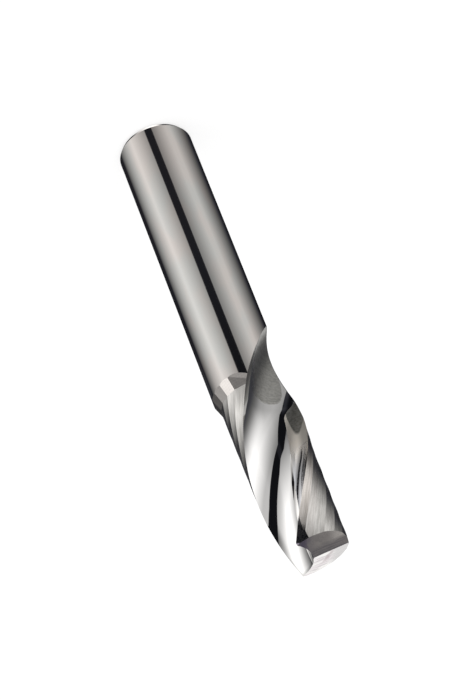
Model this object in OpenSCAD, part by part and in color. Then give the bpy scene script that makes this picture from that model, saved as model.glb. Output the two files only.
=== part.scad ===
// Single-flute end mill of solid carbide, ground from one round bar.
// The tool stands on its shank end: Z runs up to the tip, X passes through the cutting corner.

/* [Blank] */
// Diameter of the shank, which is also the cutting diameter
tool_d = 10; // [8:0.5:14]
// Length from the shank end to the cutting corner
overall_len = 72; // [66:1:90]
// Radial width of the chamfer round the shank end
chamfer_w = 0.3; // [0.1:0.05:0.6]
// Length of the chamfer along the shank
chamfer_len = 0.5; // [0.2:0.1:1.2]

/* [Helix] */
// Angle between the cutting edge and the axis
helix_angle = 24.5; // [20:0.5:30]

/* [Main flute] */
// Length of the flute from the tip to the end of its run-out
flute_len = 37.2; // [34:0.2:42]
// Radius of the flute's hollow, seen along the axis
flute_r = 5.35; // [4.8:0.05:6.2]
// Angle from the cutting edge forward to the middle of the flute at the tip
flute_lead_angle = 70.4; // [64:0.2:78]
// Degrees by which the flute closes in on the cutting edge, for each millimetre from the tip
flute_closing = 0.44; // [0.3:0.02:0.6]
// Degrees by which the run-out draws away from it again, for each millimetre that the wheel has lifted
runout_opening = 2; // [1:0.1:3]
// Distance from the axis to the flute floor at the tip
web_tip = 0.36; // [0.2:0.02:0.8]
// Angle at which the core grows towards the shank
core_taper = 0.8; // [0.3:0.1:2]
// Radius of the grinding wheel that leaves the run-out
flute_wheel_r = 22; // [16:1:34]

/* [Rake face] */
// Length of the rake grind from the tip to where its wheel lifts
rake_len = 22; // [18:0.5:23]
// Radius at the tip of the hook that is ground along the cutting edge
rake_r = 6.3; // [5.7:0.1:6.6]
// Shrinkage of that radius for each millimetre from the tip
rake_tightening = 0.09; // [0.05:0.01:0.1]
// Radial rake angle at the cutting edge
rake_angle = 18; // [14:0.5:20]
// Radius of the wheel that leaves the run-out of the rake face
rake_wheel_r = 10; // [8:0.5:14]

/* [Land] */
// Length of the relieved land from the tip to the shoulder
land_len = 28; // [24:0.5:31]
// Length of the shoulder ramps between shank and land
ramp_len = 1.85; // [1:0.05:3]
// Angular width of the primary relief behind the cutting edge
primary_w = 13; // [10:0.5:16]
// Drop of the land at the end of the primary relief
primary_drop = 0.18; // [0.1:0.01:0.24]
// Angular width of the secondary relief
secondary_w = 13; // [9:0.5:16]
// Drop of the land at the end of the secondary relief
secondary_drop = 0.34; // [0.25:0.01:0.42]
// Angular width of each back facet
facet_w = 17.6; // [14:0.2:20]
// Drop of the land where the last facet begins, next to the heel
back_drop = 0.67; // [0.45:0.01:0.9]
// Drop of that last facet where it would end, inside the flute
heel_drop = 0.25; // [0.15:0.01:0.35]

/* [End face] */
// Angle at which the end edge falls from the corner to the centre
dish_angle = 4; // [1:0.5:6]
// Relief angle behind the end cutting edge
end_relief = 11; // [7:0.5:14]
// Angle of the second end facet, beyond the centre
end_clearance = 17.2; // [14:0.2:24]
// Direction in which the second end facet falls, from the cutting edge
clearance_dir = -172.5; // [-182:0.5:-160]
// Leg of the small chamfer that protects the cutting corner
corner_chamfer = 0.3; // [0.1:0.05:0.5]
// Length of the flat ground behind the cutting corner
corner_flat_len = 3; // [2:0.1:5]
// Angle between that flat and the axis
corner_flat_angle = 6; // [4:0.2:8]
// Radius of the gash that carries the end edge to the centre
gash_r = 6.5; // [5:0.1:9]
// Angle between the gash and the end face
gash_angle = 50; // [40:1:60]
// Depth of the gash behind the radial line, halfway to the centre
gash_depth = 0.42; // [0.2:0.02:0.6]

/* [Hidden] */
carbide = [0.66, 0.65, 0.63];
tool_r = tool_d / 2;
lead = PI * tool_d / tan(helix_angle);
blank_facets = 120;
ring_step = 0.5;
clear = 0.5;
head_z = floor(overall_len - flute_len - clear);
head_len = overall_len - head_z;
shoulder_z = overall_len - land_len;
first_back_facet = primary_w + secondary_w;
back_facets = 11;
back_w = back_facets * facet_w;
last_facet = first_back_facet + back_w;
heel_end = last_facet + 36;
circum = 1 / cos(facet_w / 2);
edge_margin = 1;
open_points = 3;
open_r = 1.18 * tool_r;
open_from = 6;
open_to = 350 - heel_end;
flute_spread = 75;
flute_steps = 28;
rake_spread = 62;
rake_steps = 14;
rake_exit_lift = 0.8 * tool_r;
seam_drop = 0.1;
corner_flat_dir = -21;
gash_reach = 4;

// Polar angle of the cutting edge's helix at height z
function edge_angle(z) = (z - overall_len) * 360 / lead;

// Length over which a wheel of radius wheel_r lifts by the given height
function wheel_run(wheel_r, height) = sqrt(2 * wheel_r * height - height * height);

// How far a wheel of radius wheel_r has lifted off at height z, below its stop
function lift(z, stop_z, wheel_r) =
    z >= stop_z ? 0 : wheel_r - sqrt(wheel_r * wheel_r - pow(stop_z - z, 2));

// Heights of the rings of a sweep
function heights(low, high) =
    let (n = ceil((high - low) / ring_step))
    [for (i = [0 : n]) low + (high - low) * i / n];

// A hollow's outline at one height: an arc round a centre in direction dir, closed outside the blank.
// The arc runs from far_side to edge_side, two angles from its deepest point.
function hollow_ring(z, dir, centre_dist, r, far_side, edge_side, steps) = [
    for (i = [0 : steps])
        let (a = dir + 180 - far_side + (far_side + edge_side) * i / steps)
        [centre_dist * cos(dir) + r * cos(a), centre_dist * sin(dir) + r * sin(a), z],
    for (across = [-r * sin(edge_side), r * sin(far_side)])
        let (out = centre_dist + tool_r)
        [out * cos(dir) - across * sin(dir), out * sin(dir) + across * cos(dir), z]
];

// A solid through rings of equal point count, listed from the lowest to the highest
module sweep(rings) {
    n = len(rings[0]);
    last = len(rings) - 1;
    sides = [
        for (i = [0 : last - 1], j = [0 : n - 1])
            let (a = i * n + j, b = i * n + (j + 1) % n)
            each [[a, a + n, b + n], [a, b + n, b]]
    ];
    floor_face = [for (j = [0 : n - 1]) j];
    roof_face = [for (j = [n - 1 : -1 : 0]) last * n + j];
    polyhedron(concat([for (ring = rings) each ring]), concat([floor_face, roof_face], sides));
}

// Polar angle of the middle of the main flute at height z
function flute_angle(z, stop_z) =
    edge_angle(z) + flute_lead_angle - flute_closing * (overall_len - max(z, stop_z))
    + runout_opening * lift(z, stop_z, flute_wheel_r);

// Distance from the axis to the floor of the main flute at height z
function web(z) = web_tip + (overall_len - z) * tan(core_taper);

// Drop of the land below the cutting circle, at an angle behind the cutting edge
function land_drop(behind) =
    behind <= primary_w ? primary_drop * (behind + edge_margin) / (primary_w + edge_margin)
    : behind <= first_back_facet
        ? primary_drop + (secondary_drop - primary_drop) * (behind - primary_w) / secondary_w
    : behind <= last_facet
        ? secondary_drop + (back_drop - secondary_drop) * (behind - first_back_facet) / back_w
    : heel_drop;

// Angles behind the cutting edge at which one relief facet meets the next, from the heel round to the edge
function facet_corners() = concat(
    [heel_end],
    [for (i = [back_facets : -1 : 0]) first_back_facet + i * facet_w],
    [primary_w, -edge_margin]
);

// Outline of the relieved land at one height, open past the blank where the flute lies
function land_ring(z, turn, on_ramp) = concat(
    [for (i = [0 : open_points]) let (a = turn + open_from + i * (open_to - open_from) / open_points)
        [open_r * cos(a), open_r * sin(a), z]],
    [for (behind = facet_corners())
        let (a = turn - behind, r = !on_ramp ? tool_r - land_drop(behind)
            : behind == heel_end ? open_r : tool_r * circum)
        [r * cos(a), r * sin(a), z]]
);

// The facets ground behind the cutting edge, with the ramps that lead down to them
module land_envelope() {
    foot_z = shoulder_z + ramp_len;
    foot_turn = edge_angle(foot_z);
    sweep(concat(
        [land_ring(head_z - clear, foot_turn, true), land_ring(shoulder_z, foot_turn, true)],
        [for (z = heights(foot_z, overall_len + clear)) land_ring(z, edge_angle(z), false)]
    ));
}

// The main flute, whose floor rises out of the blank on the arc of the wheel
module main_flute() {
    end_z = overall_len - flute_len;
    stop_z = end_z + wheel_run(flute_wheel_r, tool_r - web(end_z));
    sweep([
        for (z = heights(end_z - clear, overall_len + clear))
            hollow_ring(z, flute_angle(z, stop_z),
                flute_r + web(z) + lift(z, stop_z, flute_wheel_r), flute_r,
                flute_spread, flute_spread, flute_steps)
    ]);
}

// Outline of the rake hook at one height, lifted off the cutting edge by a distance
function rake_ring(z, lifted) =
    let (
        r = rake_r - rake_tightening * (overall_len - z),
        centre = [tool_r - r * sin(rake_angle), r * cos(rake_angle)]
    )
    hollow_ring(z, edge_angle(z) + atan2(centre[1], centre[0]), norm(centre) + lifted, r,
        0, rake_spread, rake_steps);

// The hook along the cutting edge, a second and narrower grind
module rake_face() {
    stop_z = overall_len - rake_len;
    end_z = stop_z - wheel_run(rake_wheel_r, rake_exit_lift);
    sweep([
        for (z = heights(end_z, overall_len + clear))
            rake_ring(z, lift(z, stop_z, rake_wheel_r))
    ]);
}

// All that lies above a plane through the axis at height z, falling towards one direction
module above_plane(z, fall, dir) {
    translate([0, 0, z])
        rotate([0, fall, dir])
            translate([-tool_d, -tool_d, 0])
                cube([2 * tool_d, 2 * tool_d, tool_d]);
}

// The two facets of the end face: the relief of the end edge, and the clearance beyond the centre
module end_facets() {
    centre_z = overall_len - (tool_r - corner_chamfer) * tan(dish_angle);
    relief_fall = atan(norm([tan(end_relief), tan(dish_angle)]));
    relief_dir = -90 - atan2(tan(dish_angle), tan(end_relief));
    above_plane(centre_z, relief_fall, relief_dir);
    above_plane(centre_z - seam_drop, end_clearance, clearance_dir);
}

// The flat behind the cutting corner, leaning in towards the tip
module corner_flat() {
    start_z = overall_len - corner_flat_len;
    start_dist = tool_r * cos(corner_flat_dir - edge_angle(start_z));
    rotate([0, 0, corner_flat_dir])
        translate([start_dist, 0, start_z])
            rotate([0, -corner_flat_angle, 0])
                translate([0, -tool_d, -tool_d])
                    cube([tool_d, 2 * tool_d, 2 * tool_d]);
}

// The small chamfer across the cutting corner
module corner_bevel() {
    translate([tool_r - corner_chamfer, 0, overall_len])
        rotate([0, 45, 0])
            translate([-tool_d, -tool_d, 0])
                cube([2 * tool_d, 2 * tool_d, tool_d]);
}

// The gash that carries the end edge from the corner to the centre
module end_gash() {
    translate([tool_r / 2, -gash_depth, overall_len - tool_r / 2 * tan(dish_angle)])
        rotate([90 - gash_angle, 0, 0])
            translate([0, gash_r, 0])
                cylinder(r = gash_r, h = 2 * gash_reach, center = true, $fn = blank_facets);
}

// The ground head, from just below the run-out up to the tip
module fluted_head() {
    difference() {
        intersection() {
            translate([0, 0, head_z])
                cylinder(r = tool_r, h = head_len, $fn = blank_facets);
            land_envelope();
        }
        main_flute();
        rake_face();
        end_facets();
        corner_flat();
        corner_bevel();
        end_gash();
    }
}

// The plain shank with its chamfered end
module shank() {
    rotate_extrude($fn = blank_facets)
        polygon([
            [0, 0],
            [tool_r - chamfer_w, 0],
            [tool_r, chamfer_len],
            [tool_r, head_z],
            [0, head_z]
        ]);
}

// One piece: the shank, and the head brought to the exact length of the tool
module end_mill() {
    color(carbide) {
        shank();
        translate([0, 0, head_z])
            resize([0, 0, head_len])
                translate([0, 0, -head_z])
                    fluted_head();
    }
}

end_mill();
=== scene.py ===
import math

import bmesh
import bpy
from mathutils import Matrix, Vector


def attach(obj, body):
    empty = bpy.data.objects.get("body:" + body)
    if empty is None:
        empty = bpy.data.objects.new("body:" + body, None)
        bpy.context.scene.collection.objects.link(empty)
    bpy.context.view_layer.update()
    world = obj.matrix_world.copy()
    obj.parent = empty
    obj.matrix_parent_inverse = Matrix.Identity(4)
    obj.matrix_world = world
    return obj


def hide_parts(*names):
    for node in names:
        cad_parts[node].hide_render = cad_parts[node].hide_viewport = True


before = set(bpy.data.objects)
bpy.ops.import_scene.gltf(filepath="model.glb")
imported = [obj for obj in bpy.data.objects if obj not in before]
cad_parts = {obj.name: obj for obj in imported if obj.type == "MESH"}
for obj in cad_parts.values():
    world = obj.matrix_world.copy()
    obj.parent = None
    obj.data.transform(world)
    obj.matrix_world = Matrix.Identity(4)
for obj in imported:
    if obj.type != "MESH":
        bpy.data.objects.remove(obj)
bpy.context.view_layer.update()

MM = 0.001
DEGREES_PER_RADIAN = math.degrees(1)

# Sizes of the tool in millimetres and degrees, as in the part's source.
TOOL_R = 5.0
OVERALL_LEN = 72.0
CHAMFER_W = 0.3
CHAMFER_LEN = 0.5
HELIX_ANGLE = 24.5
FLUTE_LEN = 37.2
FLUTE_R = 5.35
FLUTE_LEAD_ANGLE = 70.4
FLUTE_CLOSING = 0.44
RUNOUT_OPENING = 2.0
WEB_TIP = 0.36
CORE_TAPER = 0.8
FLUTE_WHEEL_R = 22.0
RAKE_LEN = 22.0
RAKE_R = 6.3
RAKE_TIGHTENING = 0.09
RAKE_ANGLE = 18.0
RAKE_WHEEL_R = 10.0
LAND_LEN = 28.0
RAMP_LEN = 1.85
PRIMARY_W = 13.0
PRIMARY_DROP = 0.18
SECONDARY_W = 13.0
SECONDARY_DROP = 0.34
FACET_W = 17.6
BACK_DROP = 0.67
HEEL_DROP = 0.25
DISH_ANGLE = 4.0
END_RELIEF = 11.0
END_CLEARANCE = 17.2
CLEARANCE_DIR = -172.5
CORNER_CHAMFER = 0.3
CORNER_BEVEL_ANGLE = 45.0
CORNER_FLAT_LEN = 3.0
CORNER_FLAT_ANGLE = 6.0
CORNER_FLAT_DIR = -21.0
GASH_R = 6.5
GASH_ANGLE = 50.0
GASH_DEPTH = 0.42
GASH_REACH = 4.0
BACK_FACETS = 11
SEAM_DROP = 0.1

LEAD = 2 * math.pi * TOOL_R / math.tan(math.radians(HELIX_ANGLE))
SHOULDER_Z = OVERALL_LEN - LAND_LEN
FIRST_BACK = PRIMARY_W + SECONDARY_W
LAST_FACET = FIRST_BACK + BACK_FACETS * FACET_W
HEEL_W = 36.0
HEEL_END = LAST_FACET + HEEL_W

# How far the grinding tools reach past the blank.
CLEAR = 0.5
RAKE_EXIT_LIFT = 0.8 * TOOL_R
FLAT_SIZE = 4 * TOOL_R

# The relief begins a little ahead of the edge. Further ahead the land's outline lies open.
EDGE_MARGIN = 1.0
OPEN_R = 1.18 * TOOL_R
OPEN_FROM = 6.0
OPEN_TO = 350.0 - HEEL_END
OPEN_POINTS = 3

# How fine the tools are, and which points count as one.
ROUND_SIDES = 256
RING_STEP = 0.25
NEAR = 0.02
BISECT_THRESHOLD = 1e-8
SMOOTH_ANGLE = 8.0

# Where the finishes and the painted reflection change: directions on the end, and heights on the
# tool.
SEAM_DIR = -123.0
CLEARANCE_TOP = 71.57
FLUTE_PATCH_END = 46.75
SPIKE_START = 68.2


def cosd(angle):
    return math.cos(math.radians(angle))


def sind(angle):
    return math.sin(math.radians(angle))


def tand(angle):
    return math.tan(math.radians(angle))


def polar(distance, angle, z):
    return Vector((distance * cosd(angle), distance * sind(angle), z)) * MM


def edge_angle(z):
    return (z - OVERALL_LEN) * 360 / LEAD


# Camera

# Fitted to the outlines of the shank in the photograph, in metres and degrees.
CAMERA_LENS = 191.504
CAMERA_SENSOR = 36
CAMERA_PLACE = (0.349863, -0.130793, 0.331743)
CAMERA_TURN = (-49.678003, -16.713754, -124.216796)

camera_data = bpy.data.cameras.new("camera")
camera_data.lens = CAMERA_LENS
camera_data.sensor_width = CAMERA_SENSOR
camera = bpy.data.objects.new("camera", camera_data)
bpy.context.collection.objects.link(camera)
camera.location = CAMERA_PLACE
camera.rotation_euler = [math.radians(angle) for angle in CAMERA_TURN]
bpy.context.scene.camera = camera


# Shader arithmetic


class Wire:
    """A socket of a node tree that takes part in Python arithmetic."""

    def __init__(self, tree, socket):
        self.tree = tree
        self.socket = socket

    def math(self, operation, *others):
        return arithmetic(self.tree, operation, self, *others)

    def __add__(self, other):
        return self.math("ADD", other)

    def __radd__(self, other):
        return self.math("ADD", other)

    def __sub__(self, other):
        return self.math("SUBTRACT", other)

    def __rsub__(self, other):
        return arithmetic(self.tree, "SUBTRACT", other, self)

    def __mul__(self, other):
        return self.math("MULTIPLY", other)

    def __rmul__(self, other):
        return self.math("MULTIPLY", other)

    def __truediv__(self, other):
        return self.math("DIVIDE", other)

    def __rtruediv__(self, other):
        return arithmetic(self.tree, "DIVIDE", other, self)

    def __pow__(self, power):
        return self.math("POWER", power)

    def ramp(self, start, end):
        """0 at start, 1 at end and a straight rise between them; end may be below start."""
        return self.rise("LINEAR", start, end)

    def step(self, start, end):
        """0 at start, 1 at end and a soft rise between them; end may be below start."""
        return self.rise("SMOOTHSTEP", start, end)

    def rise(self, interpolation, start, end):
        if start > end:
            return 1 - self.rise(interpolation, end, start)
        settings = {"interpolation_type": interpolation}
        inputs = {"Value": self, "From Min": start, "From Max": end}
        return node(self.tree, "ShaderNodeMapRange", settings, inputs)

    def axes(self):
        """The x, y and z of a vector."""
        split = node(self.tree, "ShaderNodeSeparateXYZ", {}, {0: self})
        return [Wire(self.tree, socket) for socket in split.socket.node.outputs]


def node(tree, kind, settings=None, inputs=None, output=0):
    """Adds a node, sets it up, feeds it numbers, colours or wires, and returns its output."""
    made = tree.nodes.new(kind)
    for name, value in (settings or {}).items():
        setattr(made, name, value)
    for name, value in (inputs or {}).items():
        if isinstance(value, Wire):
            tree.links.new(value.socket, made.inputs[name])
        else:
            made.inputs[name].default_value = value
    return Wire(tree, made.outputs[output]) if made.outputs else None


def arithmetic(tree, operation, *values):
    return node(tree, "ShaderNodeMath", {"operation": operation}, dict(enumerate(values)))


def scaled(vector, factor):
    """A vector or a colour times a factor, one of which is a wire."""
    tree = (vector if isinstance(vector, Wire) else factor).tree
    inputs = {0: vector, "Scale": factor}
    return node(tree, "ShaderNodeVectorMath", {"operation": "SCALE"}, inputs)


# Where a Mix node has its sockets for colours.
MIX_FACTOR = 0
MIX_START = 6
MIX_END = 7
MIX_RESULT = 2


def blend(factor, start, end):
    """A colour between start at 0 and end at 1."""
    start, end = [(*c, 1) if isinstance(c, tuple) else c for c in (start, end)]
    inputs = {MIX_FACTOR: factor, MIX_START: start, MIX_END: end}
    return node(factor.tree, "ShaderNodeMix", {"data_type": "RGBA"}, inputs, output=MIX_RESULT)


def new_material(name):
    material = bpy.data.materials.new(name)
    material.use_nodes = True
    material.node_tree.nodes.clear()
    return material


class Place:
    """Where a point of the tool lies, in millimetres, as wires of one node tree."""

    def __init__(self, tree):
        self.tree = tree
        metres = node(tree, "ShaderNodeTexCoord", output="Object")
        self.point = scaled(metres, 1 / MM)
        self.x, self.y, self.z = self.point.axes()
        turn = (OVERALL_LEN - self.z) * (2 * math.pi / LEAD)
        inputs = {"Vector": self.point, "Angle": turn}
        self.untwisted = node(tree, "ShaderNodeVectorRotate", {"rotation_type": "Z_AXIS"}, inputs)

    def angle(self):
        """The polar angle in degrees."""
        return self.y.math("ARCTAN2", self.x) * DEGREES_PER_RADIAN

    def radius(self):
        return (self.x * self.x + self.y * self.y).math("SQRT")

    def along(self, direction):
        """The distance from the axis in one direction."""
        return self.x * cosd(direction) + self.y * sind(direction)

    def noise(self, vector, stretch, detail=2.0):
        """Noise of 0 to 1 whose grains measure one divided by stretch on each axis."""
        grain = node(self.tree, "ShaderNodeMapping", {}, {"Vector": vector, "Scale": stretch})
        inputs = {"Vector": grain, "Scale": 1.0, "Detail": detail}
        return node(self.tree, "ShaderNodeTexNoise", {}, inputs, output="Fac")

    def lines(self, direction, across, length):
        """Noise drawn out into lines that run in one direction of an end face."""
        lengthwise = self.along(direction) * length
        crosswise = self.along(direction + 90) * across
        vector = node(self.tree, "ShaderNodeCombineXYZ", {}, {0: crosswise, 1: lengthwise})
        return self.noise(vector, (1, 1, 1))


# Colours of the ground carbide, from the shank to the gash.
SHANK_GREY = (0.725, 0.718, 0.692)
SHANK_WARM = (0.778, 0.722, 0.684)
FLUTE_SATIN_DARK = (0.40, 0.395, 0.37)
FLUTE_SATIN_PALE = (0.54, 0.53, 0.50)
# Painted shade for the flute's outer rim.
FLUTE_EDGE_SHADE = (0.22, 0.215, 0.21)
FLUTE_RIM = (0.58, 0.575, 0.56)
FLUTE_END = (0.55, 0.545, 0.53)
RAKE_BROWN = (0.96, 0.90, 0.82)
RAKE_BLUE = (0.74, 0.745, 0.78)
RAKE_SHADE = (0.25, 0.245, 0.235)
RAKE_SATIN_DARK = (0.20, 0.195, 0.18)
RAKE_SATIN_PALE = (0.30, 0.29, 0.27)
MARGIN_DARK = (0.66, 0.61, 0.565)
MARGIN_PALE = (0.90, 0.845, 0.80)
# Painted dark reflection on the margin.
MARGIN_DARK_REFLECTION = (0.12, 0.115, 0.12)
SECONDARY_DARK = (0.60, 0.57, 0.54)
SECONDARY_PALE = (0.80, 0.77, 0.74)
BACK_DARK = (0.62, 0.60, 0.57)
BACK_PALE = (0.86, 0.835, 0.80)
RAMP_TINT = (0.88, 0.83, 0.79)
END_VIOLET = (0.16, 0.14, 0.20)
END_BROWN = (0.46, 0.425, 0.41)
END_CLOUD = (0.36, 0.335, 0.335)
END_PALE = (0.80, 0.75, 0.71)
END_SEAM = (0.25, 0.235, 0.25)
CLEARANCE_PALE = (0.80, 0.785, 0.765)
CLEARANCE_ROSE = (0.67, 0.62, 0.63)
CLEARANCE_SMEAR = (0.36, 0.29, 0.30)
CLEARANCE_LINES = (0.42, 0.40, 0.40)
CLEARANCE_SHADE = (0.54, 0.525, 0.52)
CORNER_DARK = (0.78, 0.76, 0.78)
CORNER_PALE = (0.95, 0.93, 0.94)
GASH_DARK = (0.62, 0.61, 0.64)
GASH_PALE = (0.78, 0.77, 0.79)


def ground_carbide(name, pattern):
    """Solid carbide; the pattern gives its colour, roughness and the height of its fine relief."""
    material = new_material(name)
    tree = material.node_tree
    colour, roughness, height = pattern(Place(tree))
    relief = node(tree, "ShaderNodeBump", {}, {"Strength": 1.0, "Distance": MM, "Height": height})
    metal = {"Base Color": colour, "Metallic": 1.0, "Roughness": roughness, "Normal": relief}
    surface = node(tree, "ShaderNodeBsdfPrincipled", {}, metal)
    node(tree, "ShaderNodeOutputMaterial", {}, {"Surface": surface})
    return material


def shank_grind(at):
    """Fine rings round the shank under a soft, slightly cloudy polish."""
    rings = at.noise(at.point, (0.5, 0.5, 9))
    cloud = at.noise(at.point, (0.35, 0.35, 0.12))
    colour = blend(cloud.step(0.35, 0.65), SHANK_GREY, SHANK_WARM)
    return colour, 0.05 + 0.03 * rings, rings * 0.0002


def flute_grind(at):
    """A bright polish along the helix, and the satin patch that the wheel left as it lifted."""
    streaks = at.noise(at.untwisted, (5, 5, 0.25))
    pebbles = at.noise(at.point, (2.6, 2.6, 3.4), 3.0)
    arcs = at.noise(at.point, (0.3, 0.3, 5))
    # The patch ends in an arc, steeper on one side of its lowest point than on the other.
    beside = at.x + 1.6
    left_arc = beside.math("MAXIMUM", 0) ** 2 * 0.15
    right_arc = beside.math("MINIMUM", 0)
    arc = at.z + left_arc + 0.8 * right_arc * right_arc + 0.3 * pebbles
    patch = arc.step(FLUTE_PATCH_END + 0.2, FLUTE_PATCH_END - 0.2) * at.x.step(2.6, -0.2)
    grains = 0.6 * pebbles + 0.4 * arcs
    satin = blend(grains.step(0.38, 0.62), FLUTE_SATIN_DARK, FLUTE_SATIN_PALE)
    polish = 0.80 + 0.13 * at.z.step(54, 62)
    tinted = {0: polish, 1: polish * 0.985, 2: polish * 0.97}
    bright = node(at.tree, "ShaderNodeCombineColor", {}, tinted)
    # Painted shade darkens the flute's outer rim along its edge; its rim near the tip and its end
    # at the tip are duller.
    rim_shade = at.radius().step(4.84, 4.99)
    colour = blend(rim_shade, blend(patch, bright, satin), FLUTE_EDGE_SHADE)
    tip_rim = at.radius().step(4.0, 4.2) * at.z.step(67.5, 69)
    colour = blend(tip_rim, colour, FLUTE_RIM)
    below_end = CLEARANCE_TOP - tand(END_CLEARANCE) * at.along(CLEARANCE_DIR) - at.z
    colour = blend(0.8 * below_end.step(0.5, 0.1), colour, FLUTE_END)
    height = streaks * 0.00015 * (1 - patch) + patch * (pebbles * 0.008 + arcs * 0.006)
    return colour, 0.03 + 0.015 * streaks + 0.27 * patch, height


def rake_grind(at):
    """A second polish with brown and blue tints of heat, and the satin patch of its own run-out."""
    streaks = at.noise(at.untwisted, (7, 7, 0.2))
    pebbles = at.noise(at.point, (3, 3, 3), 3.0)
    # The patch has one straight border, which bends away beyond 3.6 mm.
    beyond = (-3.6 - at.y).math("MAXIMUM", 0)
    border = at.z - 4.09 * at.x + 0.36 * at.y - 1.05 * beyond * beyond
    patch = border.step(54.75, 55.0) * at.z.step(54.9, 54.3)
    tint = (at.z + 3 * streaks).step(56, 62)
    polish = blend(tint, RAKE_BROWN, RAKE_BLUE)
    polish = blend(at.y.step(-3.1, -4.2) * 0.6, polish, RAKE_SHADE)
    satin = blend(pebbles.step(0.35, 0.65), RAKE_SATIN_DARK, RAKE_SATIN_PALE)
    height = streaks * 0.0008 * (1 - patch) + patch * pebbles * 0.008
    dull = at.z.step(57.5, 54.5)
    return blend(patch, polish, satin), 0.07 + 0.04 * streaks + 0.36 * dull, height


def relief_grind(dark, pale, roughness):
    """Satin relief with fine lines that follow the helix."""

    def pattern(at):
        lines = at.noise(at.untwisted, (8, 8, 0.3), 3.0)
        mottle = at.noise(at.untwisted, (1.6, 1.6, 0.5))
        tone = (0.6 * lines + 0.4 * mottle).step(0.34, 0.66)
        return blend(tone, dark, pale), roughness + 0.08 * lines, lines * 0.002

    return pattern


def primary_grind(at):
    """The margin behind the edge, with a painted dark reflection: a black spike above the flat of
    the corner.
    """
    colour, roughness, height = relief_grind(MARGIN_DARK, MARGIN_PALE, 0.15)(at)
    behind = at.untwisted.axes()[1] * -1
    # Painted reflection: the black spike stands in for the dark surroundings that the margin
    # mirrors.
    spike = (at.z - SPIKE_START) * 0.38 - behind
    return blend(spike.step(-0.05, 0.05), colour, MARGIN_DARK_REFLECTION), roughness, height


def shoulder_grind(at):
    """The ramps of the shoulder, each painted its own brightness as light and shade, with fine
    crossed lines.
    """
    angle = at.angle()
    rows = (at.z * 20).math("SINE")
    columns = (angle * 1.6).math("SINE")
    pebbles = at.noise(at.point, (4, 4, 4), 3.0)
    hatch = 0.22 * rows + 0.16 * columns + 1.6 * (pebbles - 0.5)
    first_border = 360 + edge_angle(SHOULDER_Z + RAMP_LEN) - LAST_FACET
    # Painted light and shade: each ramp faces the light differently and is painted its own
    # brightness, one brighter and the ones past it darker.
    bright = angle.math("GREATER_THAN", first_border)
    grey = angle.math("GREATER_THAN", first_border + FACET_W)
    deep = angle.math("GREATER_THAN", first_border + 2 * FACET_W)
    tone = 0.66 + 0.17 * bright - 0.40 * grey - 0.03 * deep
    tone = tone * (1 + 0.16 * hatch)
    return scaled(RAMP_TINT, tone), 0.26 + 0.06 * pebbles, hatch * 0.0012


def end_relief_grind(at):
    """The relief of the end edge: violet near the corner, then grey, with lines at the seam."""
    across = at.along(SEAM_DIR)
    aside = at.along(SEAM_DIR + 90)
    lines = at.lines(SEAM_DIR, 4.2, 0.2)
    cloud = at.noise(at.point, (0.8, 0.8, 0.8))
    wavy = across + 1.2 * (cloud - 0.5)
    colour = blend(wavy.step(-2.0, 0.2), END_VIOLET, END_BROWN)
    colour = blend(0.6 * cloud.step(0.42, 0.58), colour, END_CLOUD)
    colour = blend(wavy.step(1.2, 3.2) * aside.step(1.6, 2.6), colour, END_PALE)
    seam = aside.step(2.6, 1.4) * (0.35 + 0.65 * lines.step(0.54, 0.42))
    colour = blend(seam, colour, END_SEAM)
    return colour, 0.16 + 0.06 * lines, lines * 0.0015


def end_clearance_grind(at):
    """The bright clearance facet with faint rosy streaks and one darker smear."""
    across = at.along(SEAM_DIR)
    aside = at.along(SEAM_DIR + 90)
    lines = at.lines(SEAM_DIR - 12, 2.2, 0.3)
    rose = at.lines(SEAM_DIR - 12, 0.9, 0.25)
    colour = blend(rose.step(0.40, 0.60), CLEARANCE_PALE, CLEARANCE_ROSE)
    cloud = at.noise(at.point, (1.4, 1.4, 1.4))
    beside = (across - 2.2 - 0.45 * aside + 1.2 * (cloud - 0.5)).math("ABSOLUTE")
    smear = beside.step(0.6, 0.0) * aside.step(-2.8, -1.2) * aside.step(1.0, -0.4)
    colour = blend(0.8 * smear, colour, CLEARANCE_SMEAR)
    colour = blend(lines.step(0.52, 0.66) * 0.7, colour, CLEARANCE_LINES)
    colour = blend(across.step(1.8, 3.0), colour, CLEARANCE_SHADE)
    return colour, 0.14 + 0.08 * lines, lines * 0.0012


def corner_grind(at):
    """The flat behind the cutting corner."""
    lines = at.noise(at.point, (2, 8, 1))
    colour = blend(lines, CORNER_DARK, CORNER_PALE)
    return colour, 0.10 + 0.05 * lines, lines * 0.0008


def gash_grind(at):
    """The gash from the rake face to the middle of the end."""
    lines = at.noise(at.point, (6, 1, 6))
    colour = blend(lines, GASH_DARK, GASH_PALE)
    return colour, 0.12 + 0.06 * lines, lines * 0.0008


GROUND_SHANK = 0
POLISHED_FLUTE = 1
RAKE_FACE = 2
PRIMARY_RELIEF = 3
SECONDARY_RELIEF = 4
BACK_RELIEF = 5
SHOULDER = 6
END_RELIEF_FACE = 7
END_CLEARANCE_FACE = 8
CORNER = 9
GASH = 10

secondary_grind = relief_grind(SECONDARY_DARK, SECONDARY_PALE, 0.16)
back_grind = relief_grind(BACK_DARK, BACK_PALE, 0.16)

finishes = [
    ground_carbide("ground_shank", shank_grind),
    ground_carbide("polished_flute", flute_grind),
    ground_carbide("rake_face", rake_grind),
    ground_carbide("primary_relief", primary_grind),
    ground_carbide("secondary_relief", secondary_grind),
    ground_carbide("back_relief", back_grind),
    ground_carbide("shoulder_ramps", shoulder_grind),
    ground_carbide("end_relief_face", end_relief_grind),
    ground_carbide("end_clearance_face", end_clearance_grind),
    ground_carbide("cutting_corner", corner_grind),
    ground_carbide("gash", gash_grind),
]


# Modelling


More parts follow.
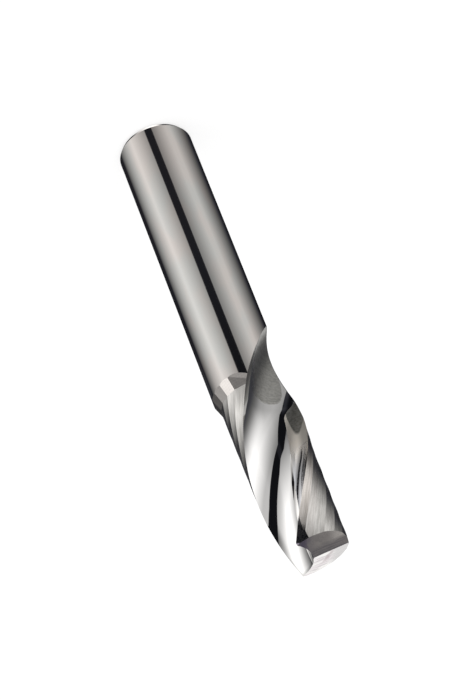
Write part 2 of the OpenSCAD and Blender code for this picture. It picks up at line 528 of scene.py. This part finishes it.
def start(add, **values):
    """Adds one primitive on its own, with its place in its mesh."""
    bpy.ops.object.select_all(action="DESELECT")
    add(**values)
    bpy.ops.object.transform_apply(location=True, rotation=True, scale=True)
    return bpy.context.object


def edit():
    bpy.ops.object.mode_set(mode="EDIT")
    bpy.ops.mesh.select_mode(type="VERT")


def leave():
    bpy.ops.object.mode_set(mode="OBJECT")


def take(piece, finish):
    """Gives a piece all the finishes, and the one that its faces have."""
    for material in finishes:
        piece.data.materials.append(material)
    for face in piece.data.polygons:
        face.material_index = finish


def pick(piece, wanted):
    """Selects, in edit mode, the vertices that a test accepts."""
    mesh = bmesh.from_edit_mesh(piece.data)
    for vertex in mesh.verts:
        vertex.select_set(wanted(vertex.co))
    mesh.select_flush(True)
    mesh.select_flush(False)
    bmesh.update_edit_mesh(piece.data)


def climb(rise, turn):
    """Extrudes the selected outline upwards and turns it round the tool's axis."""
    bpy.ops.mesh.extrude_region_move(TRANSFORM_OT_translate={"value": (0, 0, rise * MM)})
    if turn:
        angle = -math.radians(turn)
        bpy.ops.transform.rotate(value=angle, orient_axis="Z", center_override=(0, 0, 0))


def split_faces():
    """Cuts twisted faces into flat triangles, so that the solids meet along clean edges."""
    bpy.ops.mesh.select_all(action="SELECT")
    bpy.ops.mesh.quads_convert_to_tris(quad_method="FIXED", ngon_method="CLIP")


def close(piece):
    bpy.ops.mesh.select_all(action="SELECT")
    bpy.ops.mesh.normals_make_consistent(inside=False)
    leave()


def combine(blank, tool, operation="DIFFERENCE"):
    """Cuts the blank with a tool that leaves its own finish, or keeps what lies inside it."""
    bpy.ops.object.select_all(action="DESELECT")
    bpy.context.view_layer.objects.active = blank
    blank.select_set(True)
    cut = blank.modifiers.new("grind", "BOOLEAN")
    cut.operation = operation
    cut.object = tool
    cut.solver = "EXACT"
    cut.material_mode = "INDEX"
    bpy.ops.object.modifier_apply(modifier="grind")
    bpy.data.objects.remove(tool)


def heights(low, high):
    """Even heights from low to high, one ring of a tool at each."""
    steps = math.ceil((high - low) / RING_STEP)
    return [low + (high - low) * i / steps for i in range(steps + 1)]


def lift(z, stop_z, wheel_r):
    """How far a wheel of this radius has left the full depth below the height where it stops."""
    return 0 if z >= stop_z else wheel_r - math.sqrt(wheel_r**2 - (stop_z - z) ** 2)


def wheel_run(wheel_r, height):
    """The length over which a wheel lifts by this height."""
    return math.sqrt(2 * wheel_r * height - height**2)


def web(z):
    """The radius of the core at one height."""
    return WEB_TIP + (OVERALL_LEN - z) * tand(CORE_TAPER)


def disc(z, direction, distance, size):
    """The round outline of a grinding tool at one station."""
    return start(
        bpy.ops.mesh.primitive_circle_add,
        vertices=ROUND_SIDES,
        radius=size * MM,
        fill_type="NGON",
        location=polar(distance, direction, z),
    )


def swept(outline, stations):
    """Sweeps an outline from its first station (z, direction, distance, size) through the rest."""
    edit()
    z, direction, distance, size = stations[0]
    for next_z, next_direction, next_distance, next_size in stations[1:]:
        climb(next_z - z, next_direction - direction)
        middle = polar(distance, next_direction, next_z)
        if next_size != size:
            bpy.ops.transform.resize(value=[next_size / size] * 3, center_override=middle)
        if next_distance != distance:
            bpy.ops.transform.translate(value=polar(next_distance, next_direction, next_z) - middle)
        z, direction, distance, size = next_z, next_direction, next_distance, next_size
    split_faces()
    close(outline)


def make_blank():
    """The round bar with the chamfer of the shank end."""
    depth = OVERALL_LEN - CHAMFER_LEN
    blank = start(
        bpy.ops.mesh.primitive_cylinder_add,
        vertices=ROUND_SIDES,
        radius=TOOL_R * MM,
        depth=depth * MM,
        location=(0, 0, (CHAMFER_LEN + depth / 2) * MM),
    )
    edit()
    pick(blank, lambda place: place.z < (CHAMFER_LEN + CLEAR) * MM)
    climb(-CHAMFER_LEN, 0)
    narrowing = (TOOL_R - CHAMFER_W) / TOOL_R
    bpy.ops.transform.resize(value=(narrowing, narrowing, 1), center_override=(0, 0, 0))
    close(blank)
    take(blank, GROUND_SHANK)
    return blank


def flute_tool():
    """The wheel's path through the main flute, which lifts out of the bar at the run-out."""
    end_z = OVERALL_LEN - FLUTE_LEN
    stop_z = end_z + wheel_run(FLUTE_WHEEL_R, TOOL_R - web(end_z))
    stations = []
    for z in heights(end_z - CLEAR, OVERALL_LEN + CLEAR):
        up = lift(z, stop_z, FLUTE_WHEEL_R)
        direction = (
            edge_angle(z)
            + FLUTE_LEAD_ANGLE
            - FLUTE_CLOSING * (OVERALL_LEN - max(z, stop_z))
            + RUNOUT_OPENING * up
        )
        stations.append((z, direction, FLUTE_R + web(z) + up, FLUTE_R))
    tool = disc(*stations[0])
    swept(tool, stations)
    take(tool, POLISHED_FLUTE)
    return tool


def rake_tool():
    """The path of the narrower wheel, half a disc that hollows the rake face along the edge."""
    stop_z = OVERALL_LEN - RAKE_LEN
    end_z = stop_z - wheel_run(RAKE_WHEEL_R, RAKE_EXIT_LIFT)
    stations = []
    for z in heights(end_z, OVERALL_LEN + CLEAR):
        size = RAKE_R - RAKE_TIGHTENING * (OVERALL_LEN - z)
        middle = Vector((TOOL_R - size * sind(RAKE_ANGLE), size * cosd(RAKE_ANGLE)))
        direction = edge_angle(z) + math.degrees(math.atan2(middle.y, middle.x))
        stations.append((z, direction, middle.length + lift(z, stop_z, RAKE_WHEEL_R), size))
    z, direction, distance, size = stations[0]
    tool = disc(z, direction, distance, size)
    edit()
    bpy.ops.mesh.select_all(action="SELECT")
    bpy.ops.mesh.bisect(
        plane_co=polar(distance, direction, z),
        plane_no=(-sind(direction), cosd(direction), 0),
        clear_outer=True,
        threshold=BISECT_THRESHOLD,
    )
    bpy.ops.mesh.select_all(action="SELECT")
    leave()
    swept(tool, stations)
    take(tool, RAKE_FACE)
    return tool


def land_drop(behind):
    """How far the land lies inside the bar's surface, at an angle behind the cutting edge."""
    if behind <= PRIMARY_W:
        return PRIMARY_DROP * (behind + EDGE_MARGIN) / (PRIMARY_W + EDGE_MARGIN)
    if behind <= FIRST_BACK:
        fall = SECONDARY_DROP - PRIMARY_DROP
        return PRIMARY_DROP + fall * (behind - PRIMARY_W) / SECONDARY_W
    if behind <= LAST_FACET:
        share = (behind - FIRST_BACK) / (LAST_FACET - FIRST_BACK)
        return SECONDARY_DROP + (BACK_DROP - SECONDARY_DROP) * share
    return HEEL_DROP


def land_tool():
    """The relieved land as a turning prism, whose corners keep their angles behind the edge."""
    circum = TOOL_R / cosd(FACET_W / 2)
    foot_z = SHOULDER_Z + RAMP_LEN
    foot_turn = edge_angle(foot_z)
    opening = OPEN_TO - OPEN_FROM
    ahead = [OPEN_FROM + i * opening / OPEN_POINTS for i in range(OPEN_POINTS + 1)]
    facets = [FIRST_BACK + i * FACET_W for i in range(BACK_FACETS, -1, -1)]
    behind = [HEEL_END, *facets, PRIMARY_W, -EDGE_MARGIN]
    # Each corner: its angle, and its radius at the shank end, at the shoulder and along the land.
    corners = [(angle, OPEN_R, OPEN_R, OPEN_R) for angle in ahead]
    for angle in behind:
        bar = OPEN_R if angle == HEEL_END else circum
        corners.append((-angle, OPEN_R, bar, TOOL_R - land_drop(angle)))
    tool = start(bpy.ops.mesh.primitive_plane_add, size=MM, location=(0, 0, 0))
    edit()
    bpy.ops.mesh.merge(type="CENTER")
    first = polar(corners[0][1], foot_turn + corners[0][0], -CLEAR)
    bpy.ops.transform.translate(value=first)
    here = first
    for angle, below, *_ in corners[1:]:
        there = polar(below, foot_turn + angle, -CLEAR)
        bpy.ops.mesh.extrude_region_move(TRANSFORM_OT_translate={"value": there - here})
        here = there
    bpy.ops.mesh.select_all(action="SELECT")
    bpy.ops.mesh.edge_face_add()
    z = -CLEAR
    for next_z, before, after in ((SHOULDER_Z, 1, 2), (foot_z, 2, 3)):
        climb(next_z - z, 0)
        for corner in corners:
            if corner[after] != corner[before]:
                old = polar(corner[before], foot_turn + corner[0], next_z)
                new = polar(corner[after], foot_turn + corner[0], next_z)
                pick(tool, lambda place: (place - old).length < NEAR * MM)
                bpy.ops.transform.translate(value=new - old)
        pick(tool, lambda place: abs(place.z - next_z * MM) < NEAR * MM)
        z = next_z
    for next_z in heights(foot_z, OVERALL_LEN + CLEAR)[1:]:
        climb(next_z - z, edge_angle(next_z) - edge_angle(z))
        z = next_z
    split_faces()
    close(tool)
    take(tool, BACK_RELIEF)
    margin = 2 * EDGE_MARGIN
    for face in tool.data.polygons:
        middle = face.center / MM
        angle = edge_angle(max(middle.z, foot_z)) - math.degrees(math.atan2(middle.y, middle.x))
        angle = (angle + margin) % 360 - margin
        if middle.z < foot_z:
            face.material_index = SHOULDER
        elif angle < PRIMARY_W:
            face.material_index = PRIMARY_RELIEF
        elif angle < FIRST_BACK:
            face.material_index = SECONDARY_RELIEF
    return tool


def slab(place, fall, direction, finish):
    """A flat grind: all above a plane through a place, which falls towards one direction."""
    size = FLAT_SIZE * MM
    tool = start(bpy.ops.mesh.primitive_cube_add, size=size, location=(0, 0, size / 2))
    tool.rotation_euler = (0, math.radians(fall), math.radians(direction))
    tool.location = place
    bpy.ops.object.transform_apply(location=True, rotation=True, scale=True)
    take(tool, finish)
    return tool


def gash_tool():
    """A wheel that leans over the cutting edge and opens the end towards its middle."""
    tool = start(
        bpy.ops.mesh.primitive_cylinder_add,
        vertices=ROUND_SIDES,
        radius=GASH_R * MM,
        depth=2 * GASH_REACH * MM,
    )
    edit()
    bpy.ops.mesh.select_all(action="SELECT")
    bpy.ops.transform.translate(value=(0, GASH_R * MM, 0))
    leave()
    tool.rotation_euler = (math.radians(90 - GASH_ANGLE), 0, 0)
    foot_z = OVERALL_LEN - TOOL_R / 2 * tand(DISH_ANGLE)
    tool.location = Vector((TOOL_R / 2, -GASH_DEPTH, foot_z)) * MM
    bpy.ops.object.transform_apply(location=True, rotation=True, scale=True)
    take(tool, GASH)
    return tool


blank = make_blank()

# The flat grinds: the dished end and its clearance, the flat and the bevel of the cutting corner.
centre_z = OVERALL_LEN - (TOOL_R - CORNER_CHAMFER) * tand(DISH_ANGLE)
relief_fall = math.degrees(math.atan(math.hypot(tand(END_RELIEF), tand(DISH_ANGLE))))
relief_dir = -90 - math.degrees(math.atan2(tand(DISH_ANGLE), tand(END_RELIEF)))
end_place = (0, 0, centre_z * MM)
combine(blank, slab(end_place, relief_fall, relief_dir, END_RELIEF_FACE))
seam_place = (0, 0, (centre_z - SEAM_DROP) * MM)
combine(blank, slab(seam_place, END_CLEARANCE, CLEARANCE_DIR, END_CLEARANCE_FACE))
flat_z = OVERALL_LEN - CORNER_FLAT_LEN
flat_dist = TOOL_R * cosd(CORNER_FLAT_DIR - edge_angle(flat_z))
flat_place = polar(flat_dist, CORNER_FLAT_DIR, flat_z)
combine(blank, slab(flat_place, 90 - CORNER_FLAT_ANGLE, CORNER_FLAT_DIR, CORNER))
bevel_place = Vector((TOOL_R - CORNER_CHAMFER, 0, OVERALL_LEN)) * MM
combine(blank, slab(bevel_place, CORNER_BEVEL_ANGLE, 0, END_RELIEF_FACE))

combine(blank, land_tool(), "INTERSECT")
combine(blank, flute_tool())
combine(blank, rake_tool())
combine(blank, gash_tool())

blank.name = "end_mill_ground"
bpy.ops.object.shade_smooth_by_angle(angle=math.radians(SMOOTH_ANGLE))
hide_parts("end_mill")
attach(blank, "root")


# Floor and studio

FLOOR_SIZE = 6.0
PAPER_WHITE = (0.9, 0.9, 0.9, 1)
PAPER_ROUGHNESS = 0.9
PAPER_GLOW = 0.7
LAMP_SIZE = 1.6
LAMP_POWER = 12.0
LAMP_PLACE = (-0.15, 0.25, 1.1)
ROOM_TINT = (0.86, 0.90, 1.15)
WHITE = (1, 1, 1)

# White paper that also glows for the camera, and that the polished tool doesn't mirror.
floor = start(bpy.ops.mesh.primitive_plane_add, size=FLOOR_SIZE, location=(0, 0, 0))
floor.name = "floor"
paper = new_material("white_paper")
tree = paper.node_tree
white = {"Base Color": PAPER_WHITE, "Roughness": PAPER_ROUGHNESS}
sheet = node(tree, "ShaderNodeBsdfPrincipled", {}, white)
glow = node(tree, "ShaderNodeEmission", {}, {"Color": (1, 1, 1, 1), "Strength": 1.0})
seen = node(tree, "ShaderNodeLightPath", output="Is Camera Ray")
both = node(tree, "ShaderNodeMixShader", {}, {0: PAPER_GLOW * seen, 1: sheet, 2: glow})
node(tree, "ShaderNodeOutputMaterial", {}, {"Surface": both})
floor.data.materials.append(paper)
floor.visible_glossy = False

overhead = bpy.data.lights.new("overhead_soft_box", "AREA")
overhead.shape = "DISK"
overhead.size = LAMP_SIZE
overhead.energy = LAMP_POWER
overhead_box = bpy.data.objects.new("overhead_soft_box", overhead)
bpy.context.collection.objects.link(overhead_box)
overhead_box.location = LAMP_PLACE

# The studio counts by its directions alone, in degrees of azimuth and elevation. A soft box
# stands on each side of the camera, with a dark slit between them. Opposite the camera are a
# third box and white paper at the horizon. More paper lies low down, and the room is dark.
world = bpy.data.worlds.new("studio")
bpy.context.scene.world = world
world.use_nodes = True
tree = world.node_tree
tree.nodes.clear()
east, north, upward = node(tree, "ShaderNodeTexCoord", output="Generated").axes()
azimuth = north.math("ARCTAN2", east) * DEGREES_PER_RADIAN
elevation = upward.math("ARCSINE") * DEGREES_PER_RADIAN
away = azimuth.math("ABSOLUTE")
round_back = azimuth + 360 * azimuth.math("LESS_THAN", 0)

# Each border of the slit: its azimuth at the horizon, and its bends as high, low and change.
BORDER_SOFTNESS = 0.8
LEFT_BORDER = -20
LEFT_BENDS = ((0, -30, -11), (-30, -41, -2), (-43, -50, -16), (-50, -60, -19), (-60, -70, -6))
RIGHT_BORDER = 4.5
RIGHT_BENDS = ((0, -30, -7.2), (-31, -40, -7.3), (-43, -50, 3), (-50, -60, -9), (-60, -70, -20))


def bent(border, bends):
    for high, low, change in bends:
        border = border + change * elevation.ramp(high, low)
    return border


def beyond(distance):
    return distance.step(-BORDER_SOFTNESS, BORDER_SOFTNESS)


left_open = beyond(bent(LEFT_BORDER, LEFT_BENDS) - azimuth)
open_light = left_open.math("MAXIMUM", beyond(azimuth - bent(RIGHT_BORDER, RIGHT_BENDS)))

# Both boxes are brighter higher up.
swell = ((elevation + 40) / 42).math("EXPONENT")

# The left box rises slowly from behind, more steeply higher up, and dims towards the slit.
left_rise = azimuth.ramp(-168, -90) ** 1.6
left_steep = (azimuth - 11 * elevation.ramp(-25, -5)).step(-158, -92) ** 1.5
left_rise = left_rise + (left_steep - left_rise) * elevation.step(-39, -28)
left_box = 0.66 * left_rise * (1 - 0.6 * azimuth.ramp(-76, -36)) * azimuth.step(10, -10)
left_box = left_box * swell.math("MINIMUM", 2.1)
left_box = left_box * elevation.step(-84, -72)

# The right box rises away from the slit, falls off behind and dims near the slit and low down.
right_rise = 0.36 + 0.53 * azimuth.ramp(-10, 42)
right_rise = right_rise * (1 - 0.22 * elevation.step(-36, -20) * azimuth.step(40, 8))
right_rise = right_rise * (1 - 0.65 * elevation.step(-3, 6) * azimuth.ramp(42, 5))
right_box = right_rise.math("MINIMUM", 0.89 * azimuth.ramp(112, 46)) * azimuth.step(-25, -15)
right_most = 1 + 0.6 * azimuth.ramp(85, 60) * (0.45 + 0.55 * azimuth.ramp(0, 35))
right_box = right_box * swell.math("MINIMUM", right_most)
low_right = 1 - 0.5 * elevation.step(-52, -60) * azimuth.step(5, 35)
right_box = right_box * elevation.step(-72, -56) * low_right
boxes = left_box.math("MAXIMUM", right_box) * open_light

back_box = round_back.step(130, 148) * round_back.step(186, 174)
back_box = back_box * (0.5 + 0.4 * round_back.ramp(140, 172))
back_box = back_box * elevation.step(-34, -22) * elevation.step(8, -2)

paper_strip = away.step(125, 150) * elevation.step(-12, -4) * elevation.step(26, 14)
paper_foot = 1.2 * away.step(108, 172) * elevation.step(-64, -74)
paper_foot = paper_foot + 0.3 * away.step(52, 110) * elevation.step(-62, -72)

room = 0.007 + 0.011 * elevation.step(-37, -40) * elevation.step(-48, -44)
room = room + 0.045 * azimuth.step(-125, -145) * elevation.step(-37, -28)
behind = 0.05 * round_back.step(108, 122) * round_back.step(200, 160)
room = room + behind * elevation.step(-39, -37)
ceiling = 0.3 * elevation.step(15, 35)

light = boxes + back_box + (1.1 - back_box) * paper_strip + paper_foot + room + ceiling
camera_ray = node(tree, "ShaderNodeLightPath", output="Is Camera Ray")
strength = light * (1 - camera_ray) + camera_ray
# The dark of the room is a little blue, its light white.
shade = blend(strength.ramp(0.01, 0.12), ROOM_TINT, WHITE)
studio = node(tree, "ShaderNodeBackground", {}, {"Color": shade, "Strength": strength})
node(tree, "ShaderNodeOutputWorld", {}, {"Surface": studio})

bpy.context.scene.view_settings.view_transform = "Standard"
